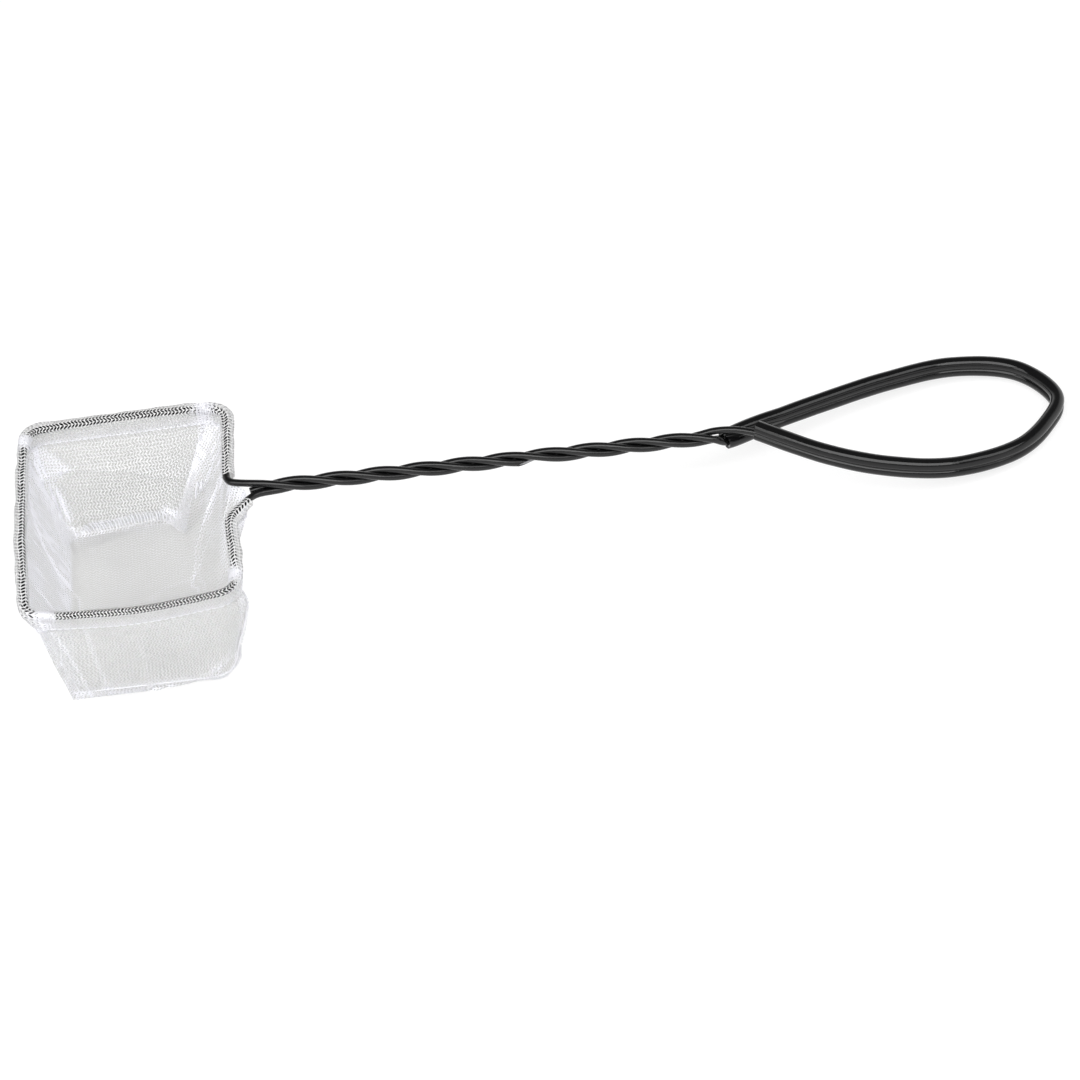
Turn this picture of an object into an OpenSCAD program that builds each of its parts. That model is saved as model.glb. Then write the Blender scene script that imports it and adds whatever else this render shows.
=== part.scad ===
/* [Wire] */
// Diameter of the steel core of each wire
core_d = 1.9; // [1.6:0.1:2.2]
// Thickness of the black coating on each wire
coating_t = 0.27; // [0.2:0.01:0.35]

/* [Twist] */
// Length in which the three twisted wires make one full turn
twist_pitch = 42.5; // [38:0.5:50]
// Gap between neighbouring wires of the twist
strand_gap = 0.12; // [0.12:0.02:0.3]
// Distance from the hoop to where the twist opens into the hand loop
twist_end = 157; // [145:1:170]
// Distance from the hoop to the cut end of the hoop's wire
cut_x = 98; // [85:0.5:110]
// Gap between that cut end and the end of the second wire
cut_gap = 7; // [5:0.5:12]
// Length of the slanting cut from heel to tip
cut_l = 7.8; // [2:0.1:9]

/* [Hoop] */
// Size of the hoop along the handle, between wire centres
hoop_l = 71.8; // [64:0.2:80]
// Size of the hoop across the handle, between wire centres
hoop_w = 98.5; // [90:0.5:110]
// Bend radius of the hoop's corners
corner_r = 7; // [5:0.5:9]

/* [Bag] */
// Depth of the bag below the hoop wire
bag_depth = 42; // [34:0.5:52]
// Thickness of the mesh cloth
mesh_t = 0.4; // [0.3:0.05:0.5]
// How far the hem reaches below the wire
hem_h = 6; // [5:0.1:7]
// Room between the wire and the hem around it
hem_clearance = 0.15; // [0.1:0.05:0.3]
// How far the cloth stands out past its seams
seam_allowance = 4; // [2.5:0.1:5]
// How far the left wall leans in at the bottom
left_lean = 14.5; // [10:0.5:18]
// How far the right wall leans in at its near bottom corner
right_lean = 5.5; // [3:0.5:9]
// How far the right wall leans in at its far bottom corner
far_lean = 23; // [16:0.5:28]
// How far the right wall swells out at half its depth
right_belly = 3; // [0:0.5:5]
// How far the near and far panels lean in at the bottom
panel_lean = 9; // [5:0.5:13]

/* [Hand loop] */
// Length of the sleeved loop from its mouth to its end
loop_l = 113.6; // [100:0.2:125]
// Width of the loop between sleeve centres
loop_w = 52.2; // [46:0.2:60]
// How far one leg of the loop lies above the other where they meet
loop_rise = 5.6; // [5.4:0.1:6]
// Gap between the end of the twist and the mouth of the sleeve
mouth_gap = 8; // [7:0.5:10]
// Wall of the sleeve
sleeve_wall = 1.05; // [0.9:0.05:1.3]
// Room between the sleeve and the wires in it
sleeve_clearance = 0.15; // [0.1:0.05:0.2]
// Depth of the groove between the sleeve's two ridges
groove_depth = 0.35; // [0.1:0.05:0.5]

/* [Thread] */
// Diameter of the sewing thread
thread_d = 0.4; // [0.3:0.05:0.5]
// Distance from one overlock stitch to the next
stitch_pitch = 2.6; // [2:0.1:4]
// Length of each corner tack along the hoop
tack_l = 4.6; // [3:0.1:6]
// Thickness of each corner tack
tack_t = 0.5; // [0.3:0.05:0.7]

/* [Hidden] */

wire_d = core_d + 2 * coating_t;
strand_r = (wire_d + strand_gap) / sqrt(3);
wire_sides = 8;
thread_sides = 4;
rings_a_turn = 10;
ring_step = twist_pitch / rings_a_turn;
first_angle = 6.6;
strand_angles = [first_angle, first_angle + 120, first_angle + 240];
// Direction that the slanting cut faces, seen along the handle
cut_facing = 205;

// Where the near half of the hoop's wire joins the twist, where the far half does, and where the second wire begins
near_join = 13.5;
far_join = 8.5;
second_start = 4.6;

// The hoop's corners: shares of its length, its width and the strands' distance from the handle's axis
hoop_shares = [
    [-0.04, 0.045, 0.15], [-0.008, 0.46, 0], [-0.961, 0.439, 0], [-1.001, -0.12, 0], [-1, -0.524, 0],
    [-0.494, -0.557, 0], [-0.05, -0.504, 0], [-0.05, -0.142, 0], [0.081, -0.022, -0.55]
];
hoop_corners = [for (s = hoop_shares) [s[0] * hoop_l, s[1] * hoop_w, s[2] * strand_r]];
side_r = 2.1 * hoop_l;
swell_r = 1.4 * hoop_l;
slant_r = 1.1 * corner_r;
near_turn_r = 1.1 * corner_r;
far_turn_r = 0.57 * corner_r;
corner_radii = [corner_r, corner_r, side_r, corner_r, swell_r, corner_r, slant_r];
arc_steps = 4;
last_corner = len(hoop_corners) - 1;

cloth_gap = 0.1;
cloth_r = wire_d / 2 + hem_clearance + mesh_t / 2;
bare_near_l = 4.5;
bare_far_l = 4.2;
bridge_lap = 1.5;
bridge_depth = strand_r + wire_d / 2 + 2 * cloth_gap;
hem_end_gap = 0.3;
hem_start_angle = -20;
hem_arc_steps = 6;

// Loop's places: shares of its length, of its width and of the rise between its legs
loop_shares = [
    [0, 0.013, -0.45], [0.123, 0.125, -0.42], [0.317, 0.257, -0.25], [0.52, 0.373, -0.07],
    [0.724, 0.437, 0], [0.91, 0.332, 0], [1, 0.02, 0], [0.946, -0.24, 0], [0.827, -0.468, 0],
    [0.634, -0.567, 0.03], [0.445, -0.502, 0.17], [0.271, -0.341, 0.4], [0.092, -0.065, 0.62]
];
loop_steps = 3;
hoop_wire_loop_rings = 32;
sleeve_turn_rings = 4;
slot_r = (wire_d + sleeve_clearance) / 2;
sleeve_r = wire_d / 2 + sleeve_clearance + sleeve_wall;
loop_x = twist_end + mouth_gap;

// A direction's unit vector
function unit(v) = v / norm(v);

// The point at share k of the way from a to b
function between(a, b, k) = a + (b - a) * k;

// A point of the smooth curve that runs through b and c, with a before and d after them
function curve_point(a, b, c, d, k) =
    b + (c - a) * (k / 2) + (2 * a - 5 * b + 4 * c - d) * (k * k / 2)
    + (3 * b - a - 3 * c + d) * (k * k * k / 2);

// A smooth line through points p, with so many steps between each pair
function smooth(p, steps) = [
    for (i = [0:len(p) - 2], s = [0:steps - 1])
        curve_point(p[max(i - 1, 0)], p[i], p[i + 1], p[min(i + 2, len(p) - 1)], s / steps),
    p[len(p) - 1]
];

// The arc of radius r that rounds corner b between a and c
function corner_arc(a, b, c, r) =
    let (u = unit(a - b), v = unit(c - b), half = acos(u * v) / 2, turn = 180 - 2 * half)
    let (middle = b + unit(u + v) * (r / sin(half)))
    let (from = b + u * (r / tan(half)) - middle, to = b + v * (r / tan(half)) - middle)
    [for (s = [0:arc_steps]) let (k = turn * s / arc_steps)
        middle + (from * sin(turn - k) + to * sin(k)) / sin(turn)];

// A line through points p with each inner corner i rounded to radius r[i - 1]
function rounded(p, r) = [for (i = [1:len(p) - 2]) each corner_arc(p[i - 1], p[i], p[i + 1], r[i - 1])];

// Directions of a line at each of its points
function directions(p) = [
    for (i = [0:len(p) - 1]) unit(p[min(i + 1, len(p) - 1)] - p[max(i - 1, 0)])
];

// Directions halfway between the two stretches that meet at each point of a line with sharp turns
function mitres(p) = [
    for (i = [0:len(p) - 1])
        let (before = p[max(i, 1)] - p[max(i, 1) - 1], j = min(i, len(p) - 2), after = p[j + 1] - p[j])
        unit(unit(before) + unit(after))
];

// A side direction for each point, carried along the line without turning about it
function carried(t, start) = [
    for (i = 0, n = unit(start - t[0] * (start * t[0])); i < len(t);
        i = i + 1, n = i < len(t) ? unit(n - t[i] * (n * t[i])) : n) n
];

// Rings of radius r along line p, each across its direction in t; the first ring slants by vector slant
function rings_across(p, t, r, sides, slant = [0, 0, 0]) =
    let (n = carried(t, [0.1, 0.3, 1]))
    [for (i = [0:len(p) - 1]) let (m = cross(t[i], n[i])) [
        for (s = [0:sides - 1]) let (a = 360 * s / sides, o = (n[i] * cos(a) + m * sin(a)) * r)
            p[i] + o + t[i] * (i == 0 ? o * slant : 0)
    ]];
function wire_rings(p, r, sides, slant = [0, 0, 0]) = rings_across(p, directions(p), r, sides, slant);

// The lengths along line p at which its points lie
function run_lengths(p) = [
    for (i = 0, s = 0; i < len(p); i = i + 1, s = i < len(p) ? s + norm(p[i] - p[i - 1]) : s) s
];

// The point at length x along line p
function at_length(p, s, x) =
    let (i = max([for (j = [0:len(p) - 2]) if (j == 0 || s[j] <= x) j]))
    between(p[i], p[i + 1], (x - s[i]) / (s[i + 1] - s[i]));

// Flips a list
function flipped(p) = [for (i = [len(p) - 1:-1:0]) p[i]];

// Triangles between neighbouring rings, which look outwards
function ring_walls(count, sides) = [
    for (i = [0:count - 2], s = [0:sides - 1])
        let (a = i * sides + s, b = i * sides + (s + 1) % sides, c = b + sides, d = a + sides)
        each [[a, b, c], [a, c, d]]
];

// A full solid whose skin runs through rings of points
module skin(rings) {
    sides = len(rings[0]);
    count = len(rings);
    caps = [[for (s = [sides - 1:-1:0]) s], [for (s = [0:sides - 1]) (count - 1) * sides + s]];
    polyhedron([for (ring = rings) each ring], concat(ring_walls(count, sides), caps));
}

// A hollow one, with an outer and an inner skin
module tube(outer, inner) {
    sides = len(outer[0]);
    count = len(outer);
    size = sides * count;
    walls = ring_walls(count, sides);
    lining = [for (f = walls) [f[0] + size, f[2] + size, f[1] + size]];
    last = size - sides;
    ends = [for (s = [0:sides - 1]) let (n = (s + 1) % sides)
        each [[s, s + size, n + size], [s, n + size, n],
            [last + s, last + n, last + n + size], [last + s, last + n + size, last + s + size]]];
    points = concat([for (ring = outer) each ring], [for (ring = inner) each ring]);
    polyhedron(points, concat(walls, lining, ends));
}

// Cloth of thickness t whose middle layer is a grid of points, row after row
module cloth(mid, t) {
    rows = len(mid);
    cols = len(mid[0]);
    size = rows * cols;
    normals = [for (i = [0:rows - 1]) [for (j = [0:cols - 1]) unit(cross(
        mid[min(i + 1, rows - 1)][j] - mid[max(i - 1, 0)][j],
        mid[i][min(j + 1, cols - 1)] - mid[i][max(j - 1, 0)]
    ))]];
    points = [for (side = [1, -1], i = [0:rows - 1], j = [0:cols - 1]) mid[i][j] + normals[i][j] * (side * t / 2)];
    rim = concat(
        [for (j = [0:cols - 1]) j],
        [for (i = [1:rows - 1]) i * cols + cols - 1],
        [for (j = [cols - 2:-1:0]) (rows - 1) * cols + j],
        [for (i = [rows - 2:-1:1]) i * cols]
    );
    layers = [for (i = [0:rows - 2], j = [0:cols - 2])
        let (a = i * cols + j, b = a + 1, c = a + cols + 1, d = a + cols)
        each [[a, b, c], [a, c, d], [size + a, size + c, size + b], [size + a, size + d, size + c]]];
    edges = [for (i = [0:len(rim) - 1])
        let (a = rim[i], b = rim[(i + 1) % len(rim)])
        each [[b, a, size + a], [b, size + a, size + b]]];
    polyhedron(points, concat(layers, edges));
}

// Place of a strand of the twist at distance x from the hoop
function strand_at(x, index) =
    let (a = strand_angles[index] + 360 * x / twist_pitch)
    [x, strand_r * cos(a), strand_r * sin(a)];

// A strand's points from one distance to another, a ring step apart at most
function strand_run(from, to, index) =
    let (steps = ceil(abs(to - from) / ring_step))
    [for (s = [0:steps]) strand_at(between(from, to, s / steps), index)];

// The middle line of the sleeve
loop_points = [for (s = loop_shares) [loop_x + s[0] * loop_l, s[1] * loop_w, s[2] * loop_rise]];
loop_line = smooth(loop_points, loop_steps);
loop_directions = directions(loop_line);
loop_out = [for (t = loop_directions) unit(cross([0, 0, 1], t))];
loop_up = [for (i = [0:len(loop_line) - 1]) cross(loop_directions[i], loop_out[i])];
slot_turn = [for (i = [0:len(loop_line) - 1]) min(90, 90 * i / sleeve_turn_rings)];

// Where the two wires lie in the sleeve: side is 1 for the hoop's wire, -1 for the second
function slot_line(side) = [
    for (i = [0:len(loop_line) - 1])
        loop_line[i] + (loop_out[i] * cos(slot_turn[i]) + loop_up[i] * sin(slot_turn[i])) * slot_r * side
];

// Halfway between the twist and the sleeve each strand stands further from the axis
open_share = 1.25;
function opened(index) =
    let (p = strand_at(twist_end + mouth_gap / 2, index)) [p[0], open_share * p[1], open_share * p[2]];

// A strand leaves the twist and runs into the sleeve's line
function into_sleeve(index, line) =
    let (a = strand_at(twist_end - ring_step, index), b = strand_at(twist_end, index), c = opened(index))
    concat(
        [for (s = [1:2]) curve_point(a, b, c, line[0], s / 2)],
        [for (s = [1:2]) curve_point(b, c, line[0], line[1], s / 2)]
    );

hoop_slot = slot_line(1);
hoop_wire_line = concat(
    strand_run(cut_x, near_join, 1),
    rounded(concat([strand_at(near_join, 1)], flipped(hoop_corners), [strand_at(far_join, 0)]),
        concat([near_turn_r], flipped(corner_radii), [far_turn_r])),
    strand_run(far_join, twist_end, 0),
    into_sleeve(0, hoop_slot),
    [for (i = [1:hoop_wire_loop_rings]) hoop_slot[i]]
);

second_slot = slot_line(-1);
slot_end = len(second_slot) - 1;
handle_wire_line = concat(
    strand_run(second_start, twist_end, 2),
    into_sleeve(2, second_slot),
    [for (i = [1:slot_end - 1]) second_slot[i]],
    [for (s = [0:3]) curve_point(second_slot[slot_end - 1], second_slot[slot_end],
        opened(1), strand_at(twist_end, 1), s / 4)],
    [for (s = [0:1]) curve_point(second_slot[slot_end], opened(1),
        strand_at(twist_end, 1), strand_at(twist_end - ring_step, 1), s / 2)],
    strand_run(twist_end, cut_x + cut_gap, 1)
);

cut_slant = [0, cos(cut_facing), sin(cut_facing)] * (cut_l / wire_d);

module hoop_wire_core() {
    color("silver") at_rest() skin(wire_rings(hoop_wire_line, core_d / 2, wire_sides, cut_slant));
}

module hoop_wire_coating() {
    outer = wire_rings(hoop_wire_line, wire_d / 2, wire_sides, cut_slant);
    inner = wire_rings(hoop_wire_line, core_d / 2, wire_sides, cut_slant);
    color("#1b1b1c") at_rest() tube(outer, inner);
}

module handle_wire_core() {
    color("silver") at_rest() skin(wire_rings(handle_wire_line, core_d / 2, wire_sides));
}

module handle_wire_coating() {
    outer = wire_rings(handle_wire_line, wire_d / 2, wire_sides);
    inner = wire_rings(handle_wire_line, core_d / 2, wire_sides);
    color("#1b1b1c") at_rest() tube(outer, inner);
}

// Outline of two touching rounds of radius r, drawn in at the waist: [across, along the slots]
function two_rounds(r, waist) = concat(
    [for (a = [0:30:180]) [r * cos(a), slot_r + r * sin(a)]],
    [[waist - r, 0]],
    [for (a = [180:30:360]) [r * cos(a), r * sin(a) - slot_r]],
    [[r - waist, 0]]
);

function sleeve_rings(r, waist) = [
    for (i = [0:len(loop_line) - 1])
        let (c = cos(slot_turn[i]), s = sin(slot_turn[i]))
        let (slots = loop_out[i] * c + loop_up[i] * s, across = loop_out[i] * s - loop_up[i] * c)
        [for (q = two_rounds(r, waist)) loop_line[i] + across * q[0] + slots * q[1]]
];

module grip_sleeve() {
    outer = sleeve_rings(sleeve_r, groove_depth);
    inner = sleeve_rings(sleeve_r - sleeve_wall, 0);
    color("#0d0d0e") at_rest() tube(outer, inner);
}

// The hoop's run from the far turn round to the near turn, and the lengths at which its arcs begin and end
hoop_run = concat([hoop_corners[0]], rounded(hoop_corners, corner_radii), [hoop_corners[last_corner]]);
hoop_lengths = run_lengths(hoop_run);
function arc_start(i) = hoop_lengths[1 + (arc_steps + 1) * (i - 1)];
function arc_end(i) = hoop_lengths[1 + (arc_steps + 1) * (i - 1) + arc_steps];

// Lengths along the run at which one cloth's hem ends and the next one's begins
hem_begins = bare_far_l;
far_right_seam = arc_end(1);
far_left_seam = arc_end(2);
near_left_seam = arc_end(4);
near_right_seam = arc_end(6);
hem_ends = hoop_lengths[len(hoop_lengths) - 1] - bare_near_l;

// The lengths of the run's own points from one length to another, with both of these
function stations(from, to) = concat(
    [from], [for (s = hoop_lengths) if (s > from + cloth_gap && s < to - cloth_gap) s], [to]
);

function hem_point(x) = at_length(hoop_run, hoop_lengths, x);
function hem_out(x) =
    let (t = hem_point(x + cloth_gap) - hem_point(x - cloth_gap))
    unit([t[1], -t[0], 0]);
function stitch_point(x) = hem_point(x) - [0, 0, hem_h];

// The hem in the middle of the cloth: from the stitches up the outside, over the wire and down to the inner edge
function hem_profile(x) =
    let (p = hem_point(x), out = hem_out(x), span = 180 - 2 * hem_start_angle)
    concat(
        [stitch_point(x)],
        [for (s = [0:hem_arc_steps]) let (a = hem_start_angle + span * s / hem_arc_steps)
            p + out * (cloth_r * cos(a)) + [0, 0, cloth_r * sin(a)]],
        [stitch_point(x) - out * (mesh_t + cloth_gap)]
    );

// Corners of the bag's bottom, on its seams
near_y = hoop_corners[4][1] + panel_lean;
far_y = hoop_corners[2][1] - panel_lean;
near_left_foot = [left_lean - hoop_l, near_y, -bag_depth];
near_right_foot = [-right_lean, near_y, -bag_depth];
far_left_foot = [left_lean - hoop_l, far_y, -bag_depth];
far_right_foot = [-far_lean, far_y, -bag_depth];
lap = mesh_t + 2 * cloth_gap;
lap_drop = 2 * mesh_t;
belly = [right_belly, 0, 0];

// How the net lies: on the flaps under both ends of the bag's right wall and on the end of the loop
near_rest = near_right_foot + [seam_allowance, -lap, -seam_allowance];
far_rest = far_right_foot + [seam_allowance, lap, -seam_allowance];
loop_rest = [loop_x + loop_l, 0, -slot_r];
rest_line = unit(far_rest - near_rest);
rest_reach = loop_rest - near_rest - rest_line * (rest_line * (loop_rest - near_rest));
rest_lift = asin(sleeve_r / norm(rest_reach));
rest_up = cross(unit(rest_reach), rest_line) * cos(rest_lift) + unit(rest_reach) * sin(rest_lift);
rest_roll = atan2(rest_up[1], rest_up[2]);
rest_tilt = -asin(rest_up[0]);
rest_height = -(near_rest * rest_up);
centre_x = (loop_rest[0] + sleeve_r - hoop_l - cloth_r) / 2 * cos(rest_tilt);
centre_y = (hoop_corners[1][1] + hoop_corners[5][1]) / 2;

// The net as it lies at rest
module at_rest() {
    translate([-centre_x, -centre_y, rest_height]) rotate([rest_roll, rest_tilt, 0]) children();
}

// A panel spans a stretch of the hoop: [from, to, foot it starts from, foot it ends at, the way it faces, its belly]
near_span = [near_left_seam, near_right_seam, near_left_foot, near_right_foot, [0, -1, 0], belly];
far_span = [far_right_seam, far_left_seam, far_right_foot, far_left_foot, [0, 1, 0], [0, 0, 0]];

// A panel's places at share k along it: under the hem, halfway down, and at the foot past the seams
function panel_places(span, k) =
    let (top = stitch_point(between(span[0], span[1], k)) + span[4] * lap)
    let (reach = unit(span[3] - span[2]) * seam_allowance)
    let (foot = between(span[2] - reach, span[3] + reach, k) + span[4] * lap - [0, 0, seam_allowance])
    [top - [0, 0, lap_drop], between(top, foot, 0.5) + span[5] * k, foot];

// The place on a panel at share k along it and share t down it
function panel_place(span, k, t) =
    let (p = panel_places(span, k))
    t < 0.5 ? between(p[0], p[1], 2 * t) : between(p[1], p[2], 2 * t - 1);

module panel(span) {
    xs = stations(span[0] + hem_end_gap, span[1] - hem_end_gap);
    cloth([for (x = xs)
        concat(flipped(panel_places(span, (x - span[0]) / (span[1] - span[0]))), hem_profile(x))], mesh_t);
}

module near_panel() {
    color("#e8e9ee") at_rest() panel(near_span);
}

module far_panel() {
    color("#e8e9ee") at_rest() panel(far_span);
}

// The strip's walls stand on the bottom's edges, each place as far along as it is along the hoop
function left_share(x) =
    let (a = hem_point(near_left_seam)[1], b = hem_point(far_left_seam)[1]) (hem_point(x)[1] - a) / (b - a);
function right_share(x) =
    let (a = hem_point(near_right_seam)[1], b = hem_point(far_right_seam)[1]) (hem_point(x)[1] - a) / (b - a);

function left_wall(x) =
    let (foot = between(near_left_foot, far_left_foot, left_share(x)))
    concat(flipped(hem_profile(x)), [between(stitch_point(x), foot, 0.5), foot]);
function right_wall(x) =
    let (foot = between(near_right_foot, far_right_foot, right_share(x)))
    concat([foot, between(stitch_point(x), foot, 0.5) + belly * (1 - right_share(x))], hem_profile(x));

right_xs = concat(
    stations(near_right_seam + hem_end_gap, hem_ends), [hem_ends + bridge_lap],
    [hem_begins - bridge_lap], stations(hem_begins, far_right_seam - hem_end_gap)
);
left_arcs = flipped(stations(far_left_seam + hem_end_gap, near_left_seam - hem_end_gap));
extra = len(right_xs) - len(left_arcs);
left_xs = concat(
    [for (i = [0:arc_steps]) left_arcs[i]],
    [for (i = [1:extra]) between(left_arcs[arc_steps], left_arcs[arc_steps + 1], i / (extra + 1))],
    [for (i = [arc_steps + 1:len(left_arcs) - 1]) left_arcs[i]]
);

// The strip's hem stops on both sides of the handle, and only a bridge of cloth runs below the twist
module side_strip() {
    from = hem_point(hem_ends);
    to = hem_point(hem_begins);
    from_out = hem_out(hem_ends) * hem_h;
    to_out = hem_out(hem_begins) * hem_h;
    notch = [for (p = [from - from_out, from + from_out, to + to_out, to - to_out]) [p[0], p[1]]];
    color("#dcdde4") at_rest() difference() {
        cloth([for (i = [0:len(right_xs) - 1]) concat(left_wall(left_xs[i]), right_wall(right_xs[i]))], mesh_t);
        translate([0, 0, -bridge_depth]) linear_extrude(height = bridge_depth + hem_h) polygon(notch);
    }
}

module thread(line) {
    skin(rings_across(line, mitres(line), thread_d / 2, thread_sides));
}

// Overlock thread that runs to and fro between a seam and the flap's edge, all round a panel
seam_top_share = 0.03;
stitch_turn_share = 0.2;
module seam_thread(span) {
    width = norm(span[3] - span[2]);
    seam_k = seam_allowance / (width + 2 * seam_allowance);
    seam_t = 1 - seam_allowance / (bag_depth + seam_allowance - hem_h);
    seam = [[0, seam_top_share], [seam_k, seam_t], [1 - seam_k, seam_t], [1, seam_top_share]];
    edge_t = 1 - thread_d / hem_h / 3;
    edge = [
        [seam_k / 8, seam_top_share], [seam_k / 8, edge_t],
        [1 - seam_k / 8, edge_t], [1 - seam_k / 8, seam_top_share]
    ];
    off = mesh_t / 2 + cloth_gap + thread_d / 2;
    counts = [for (l = [bag_depth, width, bag_depth]) round(l / stitch_pitch)];
    function stitches(i) = [for (s = [1:counts[i] - 1]) each concat(
        [for (w = [-1, 1]) between(seam[i], seam[i + 1], (s + w * stitch_turn_share) / counts[i])],
        [for (w = [-1, 1]) between(edge[i], edge[i + 1], (s + 0.5 + w * stitch_turn_share) / counts[i])]
    )];
    function corner(i) = i == 0 ? [] : [edge[i], between(edge[i], edge[i + 1], 0.5 / counts[i])];
    zigzag = [for (i = [0:2]) each concat(corner(i), stitches(i))];
    function place(q) = panel_place(span, q[0], q[1]);
    thread([for (q = zigzag)
        let (along = place([q[0] + seam_k / 9, q[1]]) - place([q[0] - seam_k / 9, q[1]]))
        let (up = panel_places(span, q[0])[0] - panel_places(span, q[0])[2])
        place(q) + unit(cross(along, up)) * off]);
}

module near_seam_thread() {
    color("white") at_rest() seam_thread(near_span);
}

module far_seam_thread() {
    color("white") at_rest() seam_thread(far_span);
}

// Loose end of the far seam's thread, knotted on the inside of the right wall: shares along the hem and down the wall
knot_shares = [0.6, 0.5];
knot_r = 1.4;
tail_l = 5.5;
module seam_thread_tail() {
    x = between(hem_begins, far_right_seam, knot_shares[0]);
    foot = between(near_right_foot, far_right_foot, right_share(x));
    seat = between(stitch_point(x), foot, knot_shares[1]) - [mesh_t + thread_d, 0, 0];
    turns = [for (a = [0:30:510]) seat + [
        -thread_d * a / 180, knot_r * cos(a), knot_r * sin(a)
    ]];
    last = turns[len(turns) - 1];
    tail = [for (s = [1:3]) last + [-thread_d * s, knot_r * s / 6, -tail_l * s / 3]];
    color("white") at_rest() thread(concat(turns, tail));
}

// Row of stitches that closes a hem, seen on its outside
module hem_stitches(from, to) {
    thread([for (x = stations(from + hem_end_gap, to - hem_end_gap))
        stitch_point(x) + hem_out(x) * (mesh_t + cloth_gap + thread_d / 2) + [0, 0, thread_d]]);
}

module near_hem_thread() {
    color("white") at_rest() hem_stitches(near_left_seam, near_right_seam);
}

module far_hem_thread() {
    color("white") at_rest() hem_stitches(far_right_seam, far_left_seam);
}

module left_hem_thread() {
    color("white") at_rest() hem_stitches(far_left_seam, near_left_seam);
}

module right_hem_thread() {
    color("white") at_rest() {
        hem_stitches(hem_begins, far_right_seam);
        hem_stitches(near_right_seam, hem_ends);
    }
}

// Short thick wrapping of thread over the place where two hems meet
module corner_tack(x) {
    r = cloth_r + mesh_t / 2 + cloth_gap + tack_t / 2;
    cloth([for (s = [-1:0.5:1]) let (p = hem_point(x + s * tack_l / 2), out = hem_out(x + s * tack_l / 2))
        [for (a = [0:30:180]) p + out * (r * cos(a)) + [0, 0, r * sin(a)]]], tack_t);
}

module corner_tacks() {
    color("white") at_rest() for (x = [far_right_seam, far_left_seam, near_left_seam, near_right_seam]) corner_tack(x);
}

hoop_wire_core();
hoop_wire_coating();
handle_wire_core();
handle_wire_coating();
grip_sleeve();
near_panel();
far_panel();
side_strip();
near_seam_thread();
far_seam_thread();
seam_thread_tail();
near_hem_thread();
far_hem_thread();
left_hem_thread();
right_hem_thread();
corner_tacks();
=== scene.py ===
"""Aquarium fish net: a wire hoop with a white mesh bag, a twisted wire handle and a sleeved hand loop."""
import math
from functools import partial

import bpy
import numpy as np
from mathutils import Matrix


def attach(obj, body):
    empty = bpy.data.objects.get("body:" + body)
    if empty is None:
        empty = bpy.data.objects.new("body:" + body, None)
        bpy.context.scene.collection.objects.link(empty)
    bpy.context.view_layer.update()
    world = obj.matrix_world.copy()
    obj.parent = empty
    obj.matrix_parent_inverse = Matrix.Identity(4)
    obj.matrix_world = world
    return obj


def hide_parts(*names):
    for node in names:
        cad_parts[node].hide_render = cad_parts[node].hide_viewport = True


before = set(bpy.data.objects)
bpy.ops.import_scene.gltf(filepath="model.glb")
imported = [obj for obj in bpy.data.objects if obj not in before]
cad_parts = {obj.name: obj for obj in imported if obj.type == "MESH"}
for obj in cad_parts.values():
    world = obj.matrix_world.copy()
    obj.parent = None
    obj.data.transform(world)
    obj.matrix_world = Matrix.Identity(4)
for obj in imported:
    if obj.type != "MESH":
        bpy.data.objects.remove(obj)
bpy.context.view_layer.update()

# --------------
# The view. The net lies on a table and is seen from 41 degrees above the plane of its hoop, from 1.3 m away.
# All pieces are worked out in mm in the net's own frame: the handle's axis is X, the hoop lies in z = 0, and the
# bag hangs below it. lay() puts them on the table, where the hoop's plane tips down towards the hand loop.
scene = bpy.context.scene
net_roll, net_tilt = math.radians(-1.87254), math.radians(8.29225)
net_at = (-102.74, 4.77725, 43.8811)


def lay(points):
    """Net frame in mm to table frame in metres: turned by the roll about X, by the tilt about Y, and then moved."""
    x, y, z = np.moveaxis(np.asarray(points, float), -1, 0)
    y, z = y * math.cos(net_roll) - z * math.sin(net_roll), y * math.sin(net_roll) + z * math.cos(net_roll)
    x, z = x * math.cos(net_tilt) + z * math.sin(net_tilt), z * math.cos(net_tilt) - x * math.sin(net_tilt)
    return (np.stack([x, y, z], -1) + net_at) / 1000


def add(name, data):
    """Puts an object with the given data into the scene."""
    made = bpy.data.objects.new(name, data)
    scene.collection.objects.link(made)
    return made


def unit(v):
    """Directions of length one."""
    return v / np.linalg.norm(v, axis=-1, keepdims=True)


camera_right = np.array([0.99078581, -0.13051514, -0.03618399])
camera_up = np.array([0.11279899, 0.64730141, 0.75384167])
camera_ahead = np.cross(camera_up, camera_right)
camera_place = lay(101.32 * camera_right - 16.56 * camera_up - 1300 * camera_ahead)
camera = add("camera", bpy.data.cameras.new("camera"))
camera.data.sensor_width = 36
camera.data.lens = 130
camera.data.clip_start, camera.data.clip_end = 0.05, 20
axes = (lay([camera_right, camera_up, -camera_ahead]) - lay([0, 0, 0])) * 1000
camera.matrix_world = Matrix.Translation(camera_place) @ Matrix(axes.T.tolist()).to_4x4()
scene.camera = camera
scene.view_settings.view_transform = "Standard"


# --------------
# The studio. A white sheet of paper under the net and a white horizon, and one very large soft lamp high in front
# of the net, which draws the broad highlights along the middle of the black strands; the sky above is dim. Two
# weaker lamps light the bag's side walls.
def feed(tree, to, inputs):
    """Feeds a node's inputs. Each gets a socket to link from or a value to set."""
    for name, value in inputs.items():
        if isinstance(value, bpy.types.NodeSocket):
            tree.links.new(value, to.inputs[name])
        else:
            to.inputs[name].default_value = value


def node(tree, kind, inputs=(), **settings):
    """Adds a shader node."""
    made = tree.nodes.new(kind)
    for name, value in settings.items():
        setattr(made, name, value)
    feed(tree, made, dict(inputs))
    return made


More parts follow.
